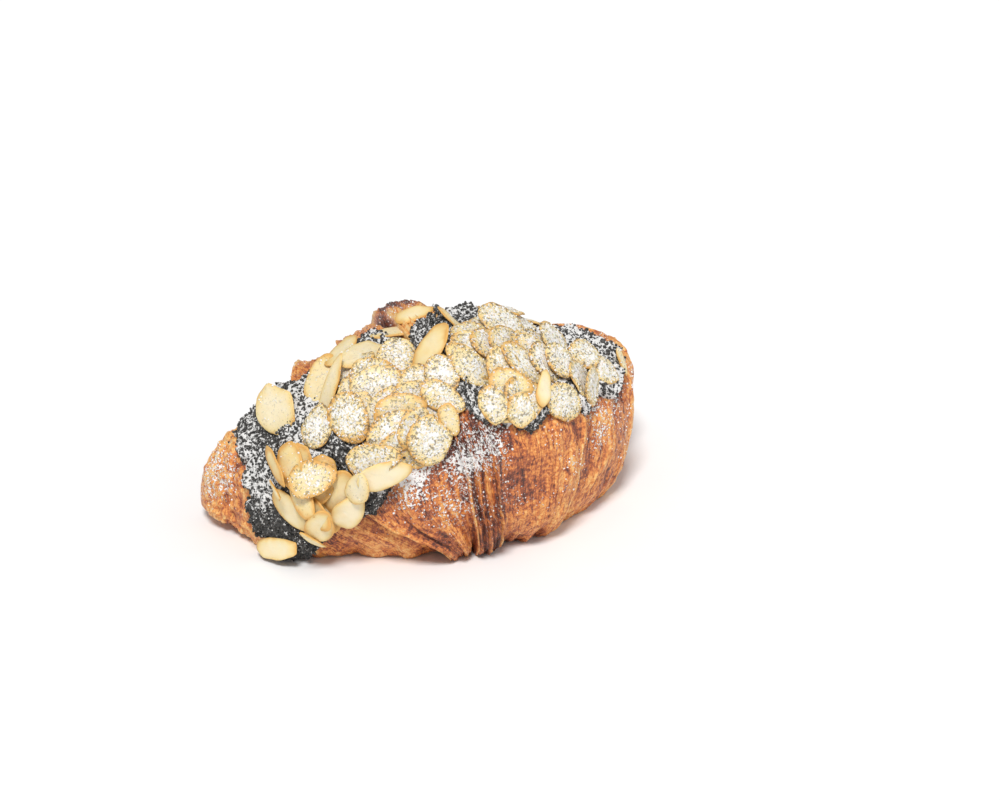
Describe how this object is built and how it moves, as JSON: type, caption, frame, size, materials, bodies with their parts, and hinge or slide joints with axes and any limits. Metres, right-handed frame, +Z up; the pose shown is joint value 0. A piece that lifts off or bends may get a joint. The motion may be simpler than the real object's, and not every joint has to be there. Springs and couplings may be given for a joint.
{
  "type": "almond croissant",
  "caption": "Crescent pastry of rolled wraps, bare over its front, with a crumbly black sesame layer and flaked almonds over its top and one end.",
  "frame": {"origin": "under the middle of the bounding box, on the plane that the flat base rests on", "axes": "+X along the chord from the topped left end to the right end, -Y the bulging front, +Z up"},
  "size_m": [0.1518, 0.0882, 0.0683],
  "materials": {
    "crust": "baked, satin",
    "sesame_topping": "crumbly, matt"
  },
  "bodies": {
    "root": {"pastry": "crust", "sesame_topping": "sesame_topping"}
  },
  "joints": []
}
